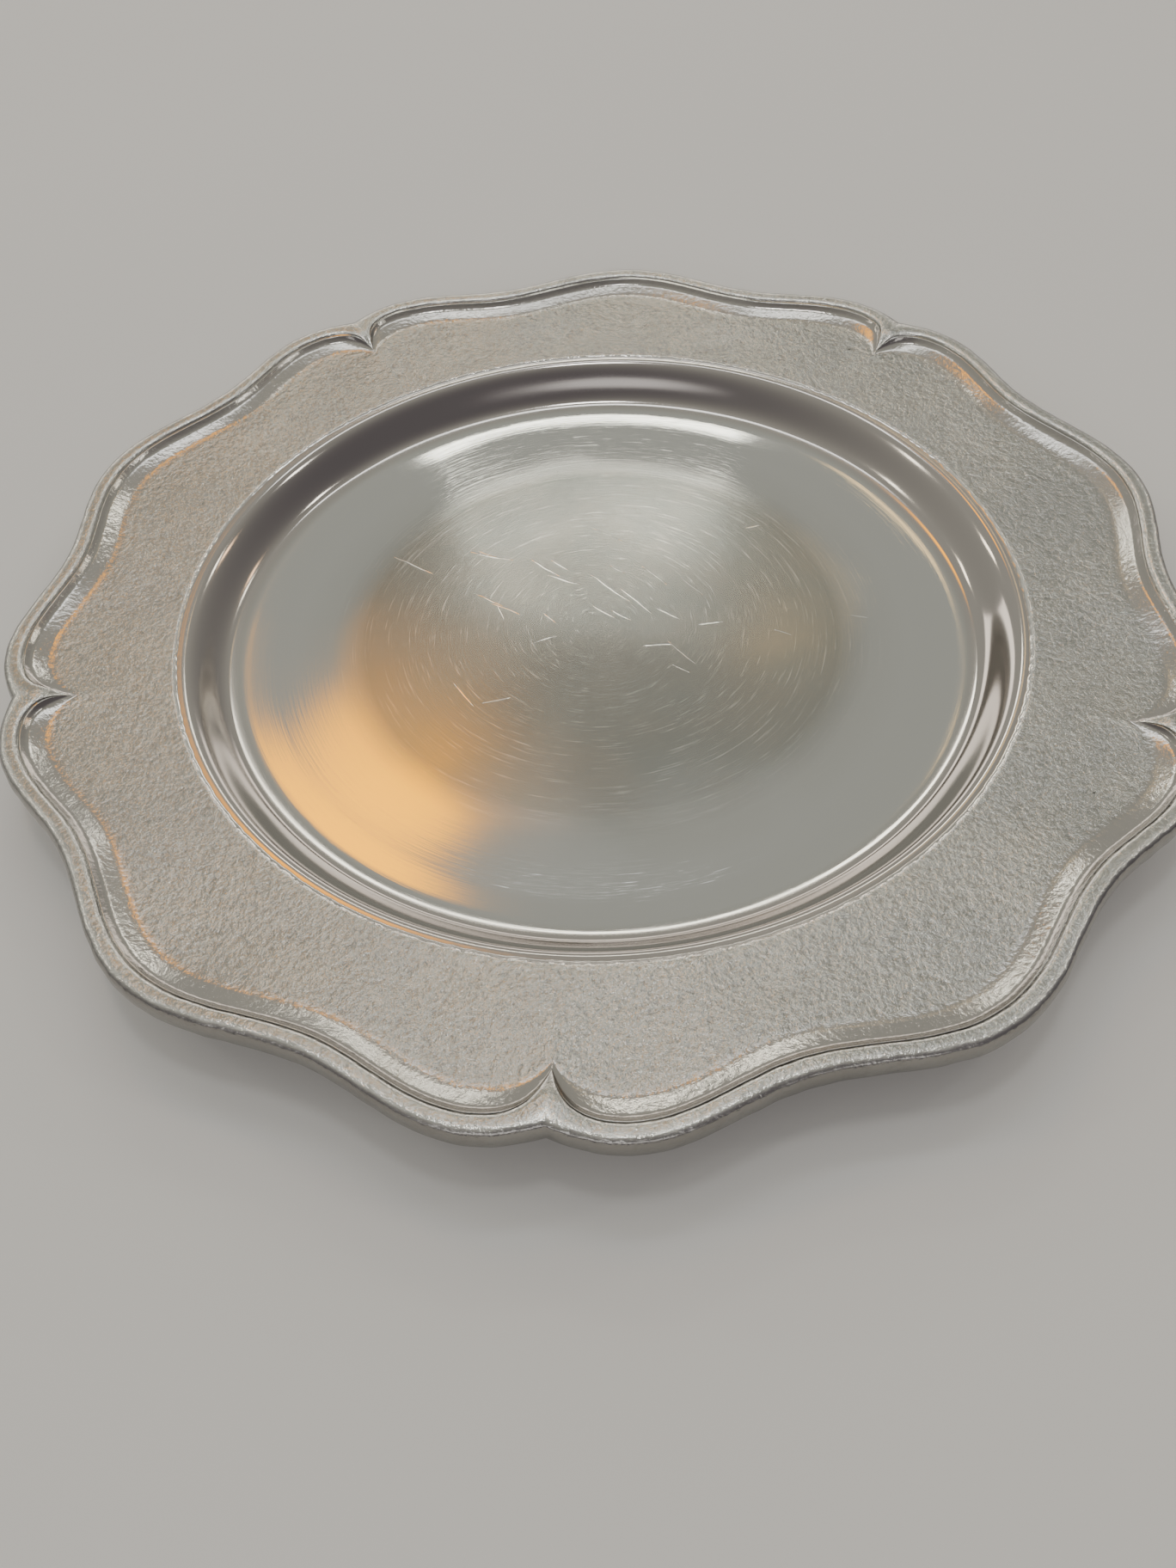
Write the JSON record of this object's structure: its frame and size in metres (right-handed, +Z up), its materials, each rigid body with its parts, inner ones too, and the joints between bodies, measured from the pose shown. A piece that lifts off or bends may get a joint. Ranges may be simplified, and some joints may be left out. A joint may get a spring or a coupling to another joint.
{
  "type": "offering plate",
  "caption": "Cast metal offering plate with a round flat-bottomed well, a wide flat rim and a raised moulded edge with double-curved lobes and small pointed notches.",
  "frame": {"origin": "on the plate's axis, on the flat face that it rests on", "axes": "+Z up, out of the open well; one notch of the edge points along -Y, and the plate is mirror-symmetric across the YZ plane"},
  "size_m": [0.242, 0.2458, 0.0163],
  "materials": {
    "cast_metal": "pewter-look cast alloy: granular satin rim, smooth turned well wall, softly turned and scratched floor, edges worn bright"
  },
  "bodies": {
    "root": {"plate": "cast_metal"}
  },
  "joints": []
}
